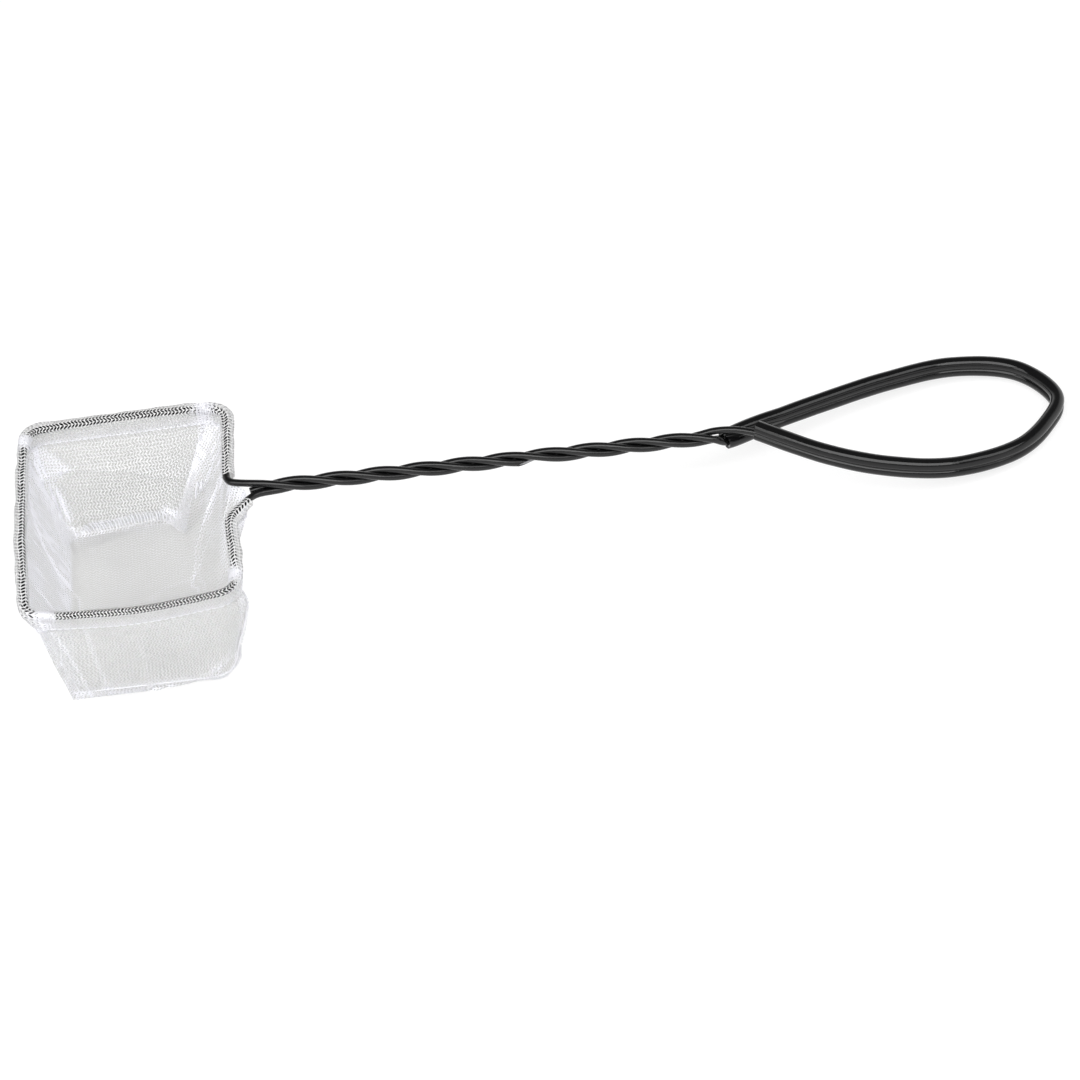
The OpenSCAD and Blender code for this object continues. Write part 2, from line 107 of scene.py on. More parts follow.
def summed(tree, operation, *values, clamp=False):
    """One sum on up to three values or sockets."""
    return node(tree, "ShaderNodeMath", dict(enumerate(values)), operation=operation, use_clamp=clamp).outputs[0]


def mixed(tree, share, a, b):
    """A colour between a and b."""
    return node(tree, "ShaderNodeMix", {0: share, 6: a, 7: b}, data_type="RGBA").outputs[2]


def noise(tree, place, scale, detail):
    """A noise texture, in units of place."""
    return node(tree, "ShaderNodeTexNoise", {"Vector": place, "Scale": scale, "Detail": detail})


def bump(tree, height, strength, distance):
    """The normal of a skin that is raised by height."""
    return node(tree, "ShaderNodeBump", {"Height": height, "Strength": strength, "Distance": distance}).outputs[0]


def material(name):
    """A new material, its tree, its shader, and summed() on that tree."""
    made = bpy.data.materials.new(name)
    made.use_nodes = True
    return made, made.node_tree, made.node_tree.nodes["Principled BSDF"], partial(summed, made.node_tree)


def seen_directly(tree):
    """1 where a camera, glossy or transmission ray looks, 0 for the rest."""
    path = node(tree, "ShaderNodeLightPath")
    both = summed(tree, "MAXIMUM", path.outputs["Is Camera Ray"], path.outputs["Is Glossy Ray"])
    return summed(tree, "MAXIMUM", both, path.outputs["Is Transmission Ray"])


# The sky: its light on the net, and how bright it is where it is seen, low down and overhead.
sky_light, sky_low, sky_overhead = 0.37, 1.0, 0.15
scene.world = bpy.data.worlds.new("studio")
scene.world.use_nodes = True
tree = scene.world.node_tree
calc = partial(summed, tree)
seen = seen_directly(tree)
way = node(tree, "ShaderNodeSeparateXYZ", {0: node(tree, "ShaderNodeTexCoord").outputs["Generated"]}).outputs[2]
overhead = calc("MULTIPLY_ADD", way, 4.0, -1.0, clamp=True)
white = calc("SUBTRACT", calc("MULTIPLY_ADD", overhead, sky_overhead - sky_low, sky_low), sky_light)
feed(tree, tree.nodes["Background"], {
    "Color": (1, 1, 1, 1), "Strength": calc("ADD", calc("MULTIPLY", seen, white), sky_light)})

# The paper: white where it is seen, pale where it only throws light back, and greyer where it is seen through the
# net: painted shade that stands for the net's shadow on the paper under it.
paper, tree, shader, calc = material("paper")
path = node(tree, "ShaderNodeLightPath")
through_net = calc("GREATER_THAN", path.outputs["Transparent Depth"], 0.5)
net_shadow_share = calc("MULTIPLY", through_net, path.outputs["Is Camera Ray"])
seen = calc("MULTIPLY", seen_directly(tree), calc("SUBTRACT", 1.0, through_net))
# Seen through the net the paper takes a grey, painted shade for the net's shadow on it.
pale = mixed(tree, net_shadow_share, (0.85, 0.85, 0.85, 1), (0.68, 0.678, 0.665, 1))
grain = node(tree, "ShaderNodeTexNoise", {"Scale": 900.0, "Detail": 2.0}).outputs[0]
feed(tree, shader, {
    "Base Color": mixed(tree, seen, pale, (0.36, 0.36, 0.36, 1)), "Roughness": 0.9, "Specular IOR Level": 0.0,
    "Normal": bump(tree, grain, 0.02, 0.0002), "Emission Color": (1, 1, 1, 1),
    "Emission Strength": calc("MULTIPLY", seen, 0.72)})
floor_half, floor_z = 4, -2e-4
floor_mesh = bpy.data.meshes.new("floor")
floor_mesh.from_pydata([(floor_half * x, floor_half * y, floor_z) for x, y in ((-1, -1), (1, -1), (1, 1), (-1, 1))],
                       [], [(0, 1, 2, 3)])
floor_mesh.materials.append(paper)
floor = add("floor", floor_mesh)


def softbox(name, place, aim, width, height, power):
    """A rectangular lamp at place, turned to aim: sizes in metres, power in watts."""
    lamp = add(name, bpy.data.lights.new(name, "AREA"))
    lamp.data.shape, lamp.data.size, lamp.data.size_y, lamp.data.energy = "RECTANGLE", width, height, power
    back = unit(np.subtract(place, aim))
    side = unit(np.cross([0.0, 1.0, 0.0], back))
    turned = Matrix(np.array([side, np.cross(back, side), back]).T.tolist()).to_4x4()
    lamp.matrix_world = Matrix.Translation(place) @ turned


softbox("lamp_front", (-0.1, -0.975, 1.39), (-0.1, 0, 0), 1.85, 1.05, 23)
softbox("lamp_left", (-0.9, -0.5, 0.8), (-0.1, 0, 0), 0.6, 0.6, 2.6)
softbox("lamp_right", (0.8, -0.4, 0.8), (-0.1, 0, 0), 0.6, 0.6, 2.6)

# --------------
# The hoop's wire: 1.9 mm steel with a black plastic coating, 2.4 mm over all. One wire makes the hoop and two of
# the handle's three strands. It starts at a slanting cut, bright steel, on the handle, and ends inside the sleeve.
coated_r, core_r, wire_sides = 1.22, 0.95, 20
strand_r, pitch, twist_phase = 1.478, 42.5, 6.6
hoop_l, hoop_w = 71.8, 98.5
twist_end, cut_x, cut_gap, cut_l = 157.0, 98.0, 7.0, 7.8
loop_l, loop_w, loop_rise, mouth_gap = 113.6, 52.2, 5.6, 8.0
bore_off = 1.295
plastic_black = (0.003, 0.003, 0.0033, 1)


def part(x):
    """x kept between 0 and 1."""
    return np.clip(x, 0, 1)


def circle(count):
    """Angles of so many points once round."""
    return np.linspace(0, 2 * math.pi, count, endpoint=False)


def grid_of(*values):
    """Points or UV places whose coordinates are the given grids."""
    return np.stack(np.broadcast_arrays(*values), -1)


def line_at(x, middle, width):
    """A soft line: 1 where x is at its middle, fading over width as a bell curve does."""
    return np.exp(-(((x - middle) / width) ** 2))


def run_lengths(line):
    """How far along a line each of its points lies."""
    return np.concatenate([[0], np.cumsum(np.linalg.norm(np.diff(line, axis=0), axis=1))])


def along(line, lengths, s):
    """What a line of values holds at lengths s: straight between its points, and straight on past its ends."""
    i = np.clip(np.searchsorted(lengths, s, side="right") - 1, 0, len(lengths) - 2)
    share = (s - lengths[i]) / (lengths[i + 1] - lengths[i])
    return line[i] + (line[i + 1] - line[i]) * share[..., None]


def even(points, step):
    """A smooth line through points, a step apart: on each stretch a cubic whose slope at a point is the mean of
    both neighbouring stretches' slopes, each weighted by the other one's length."""
    h = np.linalg.norm(np.diff(points, axis=0), axis=1)[:, None]
    slope = np.diff(points, axis=0) / h
    inner = (slope[:-1] * h[1:] + slope[1:] * h[:-1]) / (h[1:] + h[:-1])
    m = np.concatenate([slope[:1], inner, slope[-1:]])
    ends = run_lengths(points)
    s = np.linspace(0, ends[-1], max(3, int(ends[-1] / step) + 1))
    i = np.clip(np.searchsorted(ends, s, side="right") - 1, 0, len(h) - 1)
    t = ((s - ends[i]) / h[i, 0])[:, None]
    return (points[i] * (2 * t**3 - 3 * t**2 + 1) + m[i] * h[i] * (t**3 - 2 * t**2 + t)
            + points[i + 1] * (3 * t**2 - 2 * t**3) + m[i + 1] * h[i] * (t**3 - t**2))


def rounded(corners, radii, steps):
    """A line whose inner corners give way to arcs: each arc's middle lies on the corner's bisector, at its radius
    over the sine of half the corner's angle, and its points turn evenly from one side's touching point to the other."""
    arcs = []
    for a, b, c, r in zip(corners[:-2], corners[1:-1], corners[2:], radii):
        u, v = unit(a - b), unit(c - b)
        half = math.acos(u @ v) / 2
        middle, turn = b + unit(u + v) * r / math.sin(half), math.pi - 2 * half
        start, end = b + u * r / math.tan(half) - middle, b + v * r / math.tan(half) - middle
        k = np.linspace(0, turn, steps + 1)[:, None]
        arcs.append(middle + (start * np.sin(turn - k) + end * np.sin(k)) / math.sin(turn))
    return np.concatenate([corners[:1], *arcs, corners[-1:]])


def strand(x, index, spread=1.0):
    """A strand of the twist at x: a helix of radius strand_r, one turn each pitch, a third of a turn per strand."""
    a = np.radians(twist_phase + 120 * index + 360 * np.asarray(x, float) / pitch)
    return grid_of(x, spread * strand_r * np.cos(a), spread * strand_r * np.sin(a))


def strand_run(start, end, index):
    """A strand from one x to another."""
    return strand(np.linspace(start, end, max(2, int(abs(end - start) / 2))), index)


loop_shares = np.array([
    (0, .013, -.45), (.123, .125, -.42), (.317, .257, -.25), (.52, .373, -.07), (.724, .437, 0), (.91, .332, 0),
    (1, .02, 0), (.946, -.24, 0), (.827, -.468, 0), (.634, -.567, .03), (.445, -.502, .17), (.271, -.341, .4),
    (.092, -.065, .62)])
loop_knots = loop_shares * (loop_l, loop_w, loop_rise) + (twist_end + mouth_gap, 0, 0)


def loop_at(k):
    """The sleeve's middle line at knot number k: a cubic through its knots that keeps their mean slopes."""
    i = np.clip(k.astype(int), 0, len(loop_knots) - 2)
    t = (k - i)[:, None]
    a, b, c, d = (loop_knots[np.clip(i + j, 0, len(loop_knots) - 1)] for j in (-1, 0, 1, 2))
    return b + (c - a) * t / 2 + (2 * a - 5 * b + 4 * c - d) * t**2 / 2 + (3 * b - a - 3 * c + d) * t**3 / 2


def loop_frame(k):
    """Along the sleeve, the way its two bores lie from its middle, and across them. They lie side by side at the
    mouth, and one above the other from the second knot on."""
    ahead = unit(loop_at(k + 0.02) - loop_at(k - 0.02))
    out = unit(np.cross([0, 0, 1.0], ahead))
    turn = part(k * 0.75)[:, None] * math.pi / 2
    rise = np.cross(ahead, out)
    return ahead, out * np.cos(turn) + rise * np.sin(turn), out * np.sin(turn) - rise * np.cos(turn)


def bore(k, side):
    """A bore's middle line, to one side of the sleeve's."""
    return loop_at(k) + loop_frame(k)[1] * bore_off * side


hoop_corners = np.array([
    (-.04, .045, .15), (-.008, .46, 0), (-.961, .439, 0), (-1.001, -.12, 0), (-1, -.524, 0), (-.494, -.557, 0),
    (-.05, -.504, 0), (-.05, -.142, 0), (.081, -.022, -.55)]) * (hoop_l, hoop_w, strand_r)
hoop_radii = [7, 7, 150, 7, 100, 7, 7.7]
hoop_line = even(np.concatenate([
    strand_run(cut_x, 15.5, 1),
    rounded(np.concatenate([[strand(13.5, 1)], hoop_corners[::-1], [strand(8.5, 0)]]),
            [7.7, *hoop_radii[::-1], 4], 8)[1:-1],
    strand_run(10.5, twist_end, 0), [strand(twist_end + 4, 0, 1.25)], bore(np.linspace(0, 10.67, 33), 1)]), 0.7)


def tube(line, radius, sides, slant=None, lump=0.0):
    """Rings round a line, each point at middle + side * cos a + up * sin a. A slanting start moves a ring's points
    along the line by slant(a), less and less over 9 mm. lump is how far slow waves swell the radius."""
    lengths = run_lengths(line)
    ahead = unit(np.gradient(line, axis=0))
    side = unit(np.cross([0, 0, 1.0], ahead))
    up = np.cross(ahead, side)
    a = circle(sides)
    s = np.repeat(lengths[:, None], sides, 1)
    if slant is not None:
        s = s + slant(a)[None] * part(1 - s / 9)
    middle, side, up = (along(v, lengths, s) for v in (line, side, up))
    r = radius * (1 + lump * (np.sin(s / 3.1 + 2 * np.sin(s / 7.7)) + 0.6 * np.sin(s / 1.3 + a)))
    return middle + unit(side) * (r * np.cos(a))[..., None] + unit(up) * (r * np.sin(a))[..., None]


class Shell:
    """Gathers grids of points, rows by columns, into one mesh with a UV map in mm and a mark for bunched cloth,
    which also carries painted light where shaded cloth is marked whiter.
    """

    def __init__(self):
        self.points, self.faces, self.uv, self.marks, self.count = [], [], [], [], 0

    def grid(self, points, uv, closed=False, caps=False, mark=0.0):
        """Adds one grid or a stack of them: uv has a column more than the points where the rings are closed."""
        points = np.asarray(points, float)
        points = points.reshape(-1, *points.shape[-3:])
        n, rows, cols, _ = points.shape
        uv = np.broadcast_to(uv, (n, rows, cols + closed, 2))
        places = np.arange(n * rows * cols).reshape(n, rows, cols) + self.count
        if closed:
            places = np.concatenate([places, places[:, :, :1]], 2)
        faces, face_uv = (np.stack([v[:, :-1, :-1], v[:, 1:, :-1], v[:, 1:, 1:], v[:, :-1, 1:]], 3)
                          for v in (places, uv))
        faces, face_uv = faces.reshape(-1, 4), face_uv.reshape(-1, 4, 2)
        ends = [[v[:, row, :cols][:, ::way] for v in (places, uv)] for row, way in ((0, 1), (-1, -1))]
        inside_out = False
        if closed:  # the volume that the faces enclose is below zero where they look inwards
            a, b, c, d = (points.reshape(-1, 3)[faces[:, i] - self.count] for i in range(4))
            inside_out = np.einsum("ij,ij->", a, np.cross(b, c)) + np.einsum("ij,ij->", a, np.cross(c, d)) < 0
        turned = slice(None, None, -1 if inside_out else 1)
        self.faces += faces[:, turned].tolist()
        self.uv.append(face_uv[:, turned].reshape(-1, 2))
        for ring, ring_place in ends if caps else []:
            self.faces += ring[:, turned].tolist()
            self.uv.append(ring_place[:, turned].reshape(-1, 2))
        self.points.append(points.reshape(-1, 3))
        self.marks.append(np.broadcast_to(mark, (n, rows, cols)).ravel())
        self.count += n * rows * cols
        return self

    def piece(self, name, surface, slot, *nodes):
        """Makes the mesh, which stands for the given solids."""
        mesh = bpy.data.meshes.new(name)
        mesh.from_pydata(lay(np.concatenate(self.points)).tolist(), [], self.faces)
        mesh.uv_layers.new(name="cloth").data.foreach_set("uv", np.concatenate(self.uv).astype(np.float32).ravel())
        mesh.attributes.new("bunched_and_lit", "FLOAT", "POINT").data.foreach_set(
            "value", np.concatenate(self.marks).astype(np.float32))
        mesh.shade_smooth()
        mesh.materials.append(surface)
        made = add(name, mesh)
        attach(made, "root")
        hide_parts(*nodes)
        return made


def ring_uv(line, sides, width):
    """Length along a line and way round it, in mm."""
    return grid_of(run_lengths(line)[:, None], np.linspace(0, width, sides + 1))


def group(name, inputs, outputs):
    """An empty shader node group with its ends: Place is a vector, and every other socket a value."""
    made = bpy.data.node_groups.new(name, "ShaderNodeTree")
    for way, labels in (("INPUT", inputs), ("OUTPUT", outputs)):
        for label in labels:
            kind = "NodeSocketVector" if label == "Place" else "NodeSocketFloat"
            made.interface.new_socket(label, in_out=way, socket_type=kind)
    return made, made.nodes.new("NodeGroupInput").outputs, made.nodes.new("NodeGroupOutput")


# Drawn plastic, on the coating and the sleeve: long fine die lines, slow lumps, and scuffs that dull it.
drawn, into, out = group("drawn plastic", ["Place", "Lines", "Wear"], ["Height", "Scuff"])
calc, place = partial(summed, drawn), into["Place"]
stretched = node(drawn, "ShaderNodeMapping", {"Vector": place, "Scale": (0.05, 2.2, 1)})
lines, lumps = noise(drawn, stretched.outputs[0], 1.0, 3.0), noise(drawn, place, 0.35, 2.0)
spots = noise(drawn, place, 1.7, 5.0)
height = calc("MULTIPLY_ADD", lines.outputs[0], into["Lines"], lumps.outputs[0])
scuff = calc("MULTIPLY", calc("SUBTRACT", spots.outputs[0], 0.52, clamp=True), 4, clamp=True)
feed(drawn, out, {"Height": height, "Scuff": calc("MULTIPLY", scuff, into["Wear"])})


def black_plastic(name, roughness, specular, lines, wear, raised):
    """Black plastic with die lines; where it is scuffed it is a little greyer and rougher."""
    made, tree, shader, calc = material(name)
    place = node(tree, "ShaderNodeUVMap", uv_map="cloth").outputs[0]
    skin = node(tree, "ShaderNodeGroup", node_tree=drawn)
    feed(tree, skin, {"Place": place, "Lines": lines, "Wear": wear})
    grey = tuple(c * 3.2 + 0.006 for c in plastic_black[:3]) + (1,)
    feed(tree, shader, {
        "Base Color": mixed(tree, skin.outputs["Scuff"], plastic_black, grey), "Specular IOR Level": specular,
        "Roughness": calc("MULTIPLY_ADD", skin.outputs["Scuff"], 0.2, roughness),
        "Normal": bump(tree, skin.outputs["Height"], raised, 0.0002)})
    return made


coating = black_plastic("black coating", 0.2, 0.5, 0.6, 0.4, 0.25)

cut_steel, tree, shader, calc = material("cut steel")
place = node(tree, "ShaderNodeTexCoord").outputs["Object"]
sheared = node(tree, "ShaderNodeMapping", {"Vector": place, "Scale": (600, 5200, 5200)})
marks = noise(tree, sheared.outputs[0], 1.0, 4.0).outputs[0]
shade = node(tree, "ShaderNodeValToRGB", {"Fac": marks})
for stop, at, colour in zip(shade.color_ramp.elements, (0.3, 0.7), ((0.1, 0.1, 0.11, 1), (0.5, 0.5, 0.52, 1))):
    stop.position, stop.color = at, colour
feed(tree, shader, {
    "Base Color": shade.outputs[0], "Roughness": calc("MULTIPLY_ADD", marks, 0.2, 0.25), "Metallic": 0.9,
    "Normal": bump(tree, marks, 0.3, 0.0001)})
cut_faces = math.radians(205)


def cut_slant(a):
    """How far a point of the wire's first ring lies along the wire: the cut faces down and towards the viewer."""
    ahead = unit(hoop_line[1] - hoop_line[0])
    side = unit(np.cross([0, 0, 1.0], ahead))
    facing = np.array([0, math.cos(cut_faces), math.sin(cut_faces)])
    return cut_l / 2 * (np.cos(a) * (side @ facing) + np.sin(a) * (np.cross(ahead, side) @ facing))


def wire(name, line, slant=None):
    """Coating and steel core of one wire. The coating ends in rims that meet the core, whose ends alone are made."""
    outer, inner = tube(line, coated_r, wire_sides, slant, 0.006), tube(line, core_r, wire_sides, slant)
    uv = ring_uv(line, wire_sides, 7.7)
    skin = Shell().grid(outer, uv, closed=True)
    for end in (0, -1):
        rim = np.stack([outer[end], inner[end], inner[1 if end == 0 else -2]])
        skin.grid(rim if end == 0 else rim[::-1], uv[:3], closed=True)
    skin.piece(name + "_coating", coating, "black_coating", name + "_coating")
    core = Shell()
    core.grid(inner[:14], uv[:14], closed=True, caps=True).grid(inner[-8:], uv[-8:], closed=True, caps=True)
    core.piece(name + "_core_ends", cut_steel, "steel_core", name + "_core")


wire("hoop_wire", hoop_line, cut_slant)

# --------------
# The second wire, of the same kind: the handle's third strand, round the hand loop in the sleeve's second bore and
# back into the twist as the strand that ends 7 mm before the first wire's cut. Its ends are cut square.
handle_line = even(np.concatenate([
    strand_run(4.6, twist_end, 2), [strand(twist_end + 4, 2, 1.25)], bore(np.linspace(0, 12, 37), -1),
    [strand(twist_end + 4, 1, 1.25)], strand_run(twist_end, cut_x + cut_gap, 1)]), 0.7)
wire("handle_wire", handle_line)

# --------------
# The sleeve of the hand loop: soft glossy black plastic, 1.05 mm thick, drawn over both wires so that it shows two
# ridges with a groove between them. Both ends are cut off square; the near one lies over the far one's neck.
sleeve_r, sleeve_wall, sleeve_sides = 2.42, 1.05, 48
loop_line = loop_at(np.linspace(0, 12, 420))
_, slots_way, across_way = loop_frame(np.linspace(0, 12, 420))


def sleeve_rings(r, waist):
    """Two rounds of radius r, each round a bore, drawn in at the waist, and carried along the loop. The reach in each
    direction a is the larger of both rounds', less a smooth dip of the waist's depth on either side. The rings swell
    and shrink a little in slow waves, as soft plastic does."""
    a = circle(sleeve_sides)
    reach = bore_off * np.abs(np.sin(a)) + np.sqrt(r**2 - (bore_off * np.cos(a)) ** 2)
    reach -= waist * line_at(np.sin(a) * (r + bore_off), 0, 0.9)
    across, slots = (reach * np.cos(a))[:, None], (reach * np.sin(a))[:, None]
    s = run_lengths(loop_line)[:, None]
    swell = 1 + 0.006 * np.sin(s / 5.3 + 1.2 * np.sin(s / 13)) + 0.004 * np.sin(s / 2.1)
    return loop_line[:, None] + (across_way[:, None] * across + slots_way[:, None] * slots) * swell[..., None]


outer, inner = sleeve_rings(sleeve_r, 0.45), sleeve_rings(sleeve_r - sleeve_wall, 0.0)
uv = ring_uv(loop_line, sleeve_sides, 20)
sleeve = Shell().grid(outer, uv, closed=True)
sleeve.grid(np.stack([outer[0], inner[0], inner[2], inner[6]]), uv[:4], closed=True)
sleeve.grid(np.stack([inner[-7], inner[-3], inner[-1], outer[-1]]), uv[:4], closed=True)
gloss = black_plastic("black sleeve", 0.1, 0.42, 0.35, 0.25, 0.2)
sleeve.piece("grip_sleeve_skin", gloss, "black_sleeve", "grip_sleeve")

# --------------
# The mesh cloth: warp-knitted white nylon net, one thin layer with a hole every 1.1 mm. Rows of slanting holes
# lean one way and the other in turn. Cloth that is bunched in a seam or a crease closes its holes and looks whiter.
# The same mark also carries painted light: it closes the holes and whitens cloth that lies in shade.
knit, into, out = group("knit", ["Place", "Bunched_and_lit"], ["Cover", "Height", "Tone"])
calc, bunched_and_lit, place = partial(summed, knit), into["Bunched_and_lit"], into["Place"]
stray, vector_sum = noise(knit, place, 0.22, 2.0), "ShaderNodeVectorMath"
moved = node(knit, vector_sum, {0: stray.outputs["Color"], 1: (0.5, 0.5, 0.5)}, operation="SUBTRACT").outputs[0]
moved = node(knit, vector_sum, {0: moved, 1: (1.2, 1.2, 1.2), 2: place}, operation="MULTIPLY_ADD").outputs[0]
split = node(knit, "ShaderNodeSeparateXYZ", {0: moved})
row = calc("DIVIDE", split.outputs[1], 1.05)
in_row = calc("SUBTRACT", calc("FRACT", row), 0.5)
lean = calc("MULTIPLY_ADD", calc("FLOORED_MODULO", calc("FLOOR", row), 2), 2, -1)
wale = calc("MULTIPLY_ADD", calc("MULTIPLY", in_row, lean), 0.75, calc("DIVIDE", split.outputs[0], 1.1))
in_wale = calc("SUBTRACT", calc("FRACT", wale), 0.5)
wide = calc("POWER", calc("DIVIDE", calc("ABSOLUTE", in_wale), 0.31), 3)
tall = calc("POWER", calc("DIVIDE", calc("ABSOLUTE", in_row), 0.42), 4)
reach = calc("ADD", wide, tall)
edge = calc("SUBTRACT", reach, calc("MULTIPLY_ADD", bunched_and_lit, -1.15, 1.05))
crisp = calc("MULTIPLY_ADD", calc("MINIMUM", bunched_and_lit, 0.0), -7.0, 2.0)
feed(knit, out, {"Cover": calc("MULTIPLY_ADD", edge, crisp, 0.5, clamp=True), "Height": calc("MINIMUM", reach, 3),
                 "Tone": stray.outputs[0]})

# The net's material: grey where it is one open layer, white where it is bunched, and white too where the mark is
# painted light on shaded walls and crumples. Half the light that meets a thread comes out behind it, so the cloth
# throws only half a shadow.
white_net, tree, shader, calc = material("white mesh")
one_layer, lit_bunched_white = (0.78, 0.78, 0.78, 1), (0.95, 0.95, 1.0, 1)
bunched_and_lit = node(tree, "ShaderNodeAttribute", attribute_name="bunched_and_lit").outputs["Fac"]
place = node(tree, "ShaderNodeUVMap", uv_map="cloth").outputs[0]
knitted = node(tree, "ShaderNodeGroup", node_tree=knit)
feed(tree, knitted, {"Place": place, "Bunched_and_lit": bunched_and_lit})
share = calc("MULTIPLY_ADD", knitted.outputs["Tone"], 0.3, calc("SUBTRACT", bunched_and_lit, 0.15), clamp=True)
shadow = node(tree, "ShaderNodeLightPath").outputs["Is Shadow Ray"]
feed(tree, shader, {
    "Base Color": mixed(tree, share, one_layer, lit_bunched_white),
    "Alpha": calc("MULTIPLY", knitted.outputs["Cover"], calc("MULTIPLY_ADD", shadow, -0.5, 1)),
    "Normal": bump(tree, knitted.outputs["Height"], 0.35, 0.0001),
    "Roughness": 0.55, "Sheen Weight": 0.15, "Sheen Roughness": 0.4})

# The bag's sizes, its places along the hoop, and the fields that its folds are drawn with.
bag_depth, hem_h, allowance, lap = 42.0, 6.0, 4.0, 0.6
left_lean, right_lean, far_lean, panel_lean, right_belly = 14.5, 5.5, 23.0, 9.0, 2.4
arc_steps = 10
hoop_run = rounded(hoop_corners, hoop_radii, arc_steps)
run_s = run_lengths(hoop_run)
arc_ends = run_s[arc_steps + 1::arc_steps + 1]
seam_at = {name: arc_ends[i] for name, i in (("far_right", 0), ("far_left", 1), ("near_left", 3), ("near_right", 5))}
hem_begins, hem_ends = 2.8, run_s[-1] - 4.5


def on_hoop(x):
    """The wire's middle at length x along the hoop, from the handle round the far side to the near side."""
    return along(hoop_run, run_s, np.asarray(x, float))


def hoop_out(x):
    """The way out of the hoop at length x, level."""
    t = on_hoop(x + 1.0) - on_hoop(x - 1.0)
    return unit(grid_of(t[..., 1], -t[..., 0], 0.0))


def soft(u, v, seed, scale):
    """A slow random field from -1 to 1: random heights at the knots of a grid, scale apart, blended smoothly."""
    table = np.random.default_rng(seed).uniform(-1, 1, (64, 64))
    u, v = u / scale + 20, v / scale + 20
    i, j = np.floor(u).astype(int), np.floor(v).astype(int)
    a, b = u - i, v - j
    a, b = a * a * (3 - 2 * a), b * b * (3 - 2 * b)
    i, j, i1, j1 = i % 64, j % 64, (i + 1) % 64, (j + 1) % 64
    return (table[i, j] * (1 - a) + table[i1, j] * a) * (1 - b) + (table[i, j1] * (1 - a) + table[i1, j1] * a) * b


def stroke(u, v, knots, width):
    """How near a place is to a crease: 1 on the line through knots, fading over width as a bell curve does."""
    knots = np.array(knots, float)
    nearest = np.full(np.broadcast(u, v).shape, 1e9)
    for p, q in zip(knots[:-1], knots[1:]):
        d = q - p
        t = part(((u - p[0]) * d[0] + (v - p[1]) * d[1]) / (d @ d))
        nearest = np.minimum(nearest, (u - p[0] - t * d[0]) ** 2 + (v - p[1] - t * d[1]) ** 2)
    return np.exp(-nearest / width**2)


def streaks(u, v, seed, width, length):
    """Gathers that run along v: the same slow field drawn out, only its raised half."""
    return part(soft(u / width, v / length, seed, 1.0) * 1.6)


def step(x):
    """0 below 0, 1 above 1, and a smooth rise between."""
    x = part(x)
    return x * x * (3 - 2 * x)


def facing(points):
    """The way each point of a grid faces: across its rows and columns."""
    return unit(np.cross(np.gradient(points, axis=0), np.gradient(points, axis=1)))


hem_knots = np.array([(0, -6), (.9, -4.2), (1.9, -2), (2.45, -.2), (2.4, 1), (1.75, 1.75), (.7, 1.8), (-.3, 1.5),
                      (-1.1, 1.05), (-1.5, .2), (-1.5, -1), (-1.2, -2.6), (-.8, -4.4), (-.6, -6.1)])
hem_curve = even(hem_knots, 0.5)
hem_v = run_lengths(hem_curve)


def hem(x, bulge, seed, stretch, bare):
    """The hem round the wire at lengths x: from the stitches up the outside, over the wire and down the inside.
    Columns follow the curve above, whose outer side stands off by bulge, more and less along the wire. The net is
    drawn open over the wire, bunched where two hems meet, and its lower part is gathered up at the handle."""
    side, height = hem_curve.T
    corner = line_at(np.min([np.abs(x - at) for at in seam_at.values()], axis=0), 0, 3.4)[:, None]
    off = bulge + (0.75 - bulge) * corner
    reach = side + np.clip(side, 0, None) * (off - 1 + 0.18 * soft(x[:, None], height * 2, seed, 5.0))
    up = height + 0.12 * soft(x[:, None], 0 * reach + 3, seed + 1, 3.0)
    gathered = 0.42 + 0.58 * step(np.minimum(x - hem_begins, hem_ends - x) / 7)[:, None]
    up = np.where(up < 0, up * gathered, up)
    place = on_hoop(x)[:, None] + hoop_out(x)[:, None] * reach[..., None]
    place[..., 2] += up
    place[..., 0] += 1.9 * line_at(x, seam_at["near_right"], 5)[:, None] * part((2.5 - up) / 8)
    uv = grid_of(x[:, None] / stretch, hem_v / stretch**0.7)
    patches = 0.5 + 0.5 * soft(x[:, None], hem_v, seed + 2, 2.4)
    over = part((height + 2.2) / 0.6) * part((2.15 - side * bulge) / 0.4)
    mark = 0.15 - bare * over + 0.5 * line_at(hem_v, hem_v[-1], 0.6) + 0.2 * line_at(hem_v, 0, 0.8)
    return place, uv, mark * (1 - corner) + 0.9 * corner + (0.9 - bare) * 1.3 * patches * over


near_foot_y, far_foot_y = hoop_corners[4, 1] + panel_lean, hoop_corners[2, 1] - panel_lean
feet = {name: np.array([x, y, -bag_depth]) for name, x, y in (
    ("near_left", left_lean - hoop_l, near_foot_y), ("near_right", -right_lean, near_foot_y),
    ("far_left", left_lean - hoop_l, far_foot_y), ("far_right", -far_lean, far_foot_y))}


def panel_place(span, k, t):
    """A flat panel between a stretch of the hoop and the bag's bottom edge, with its flaps past the seams: straight
    from the hem to the foot at share t, then moved by the panel's own bend."""
    start, end, foot_a, foot_b, way, bend = span
    x = start + (end - start) * k
    top = on_hoop(x) + way * lap
    top[..., 2] -= hem_h
    reach = unit(foot_b - foot_a) * allowance
    foot = (foot_a - reach) + (foot_b - foot_a + 2 * reach) * k[..., None] + way * lap
    foot[..., 2] -= allowance
    return top + (foot - top) * t[..., None] + grid_of(*bend(k, t))


def shoulder(t):
    """How far the bag's near right edge stands out just below the hem: a bell curve down its height."""
    return 2.3 * line_at(t, 0.08, 0.14)


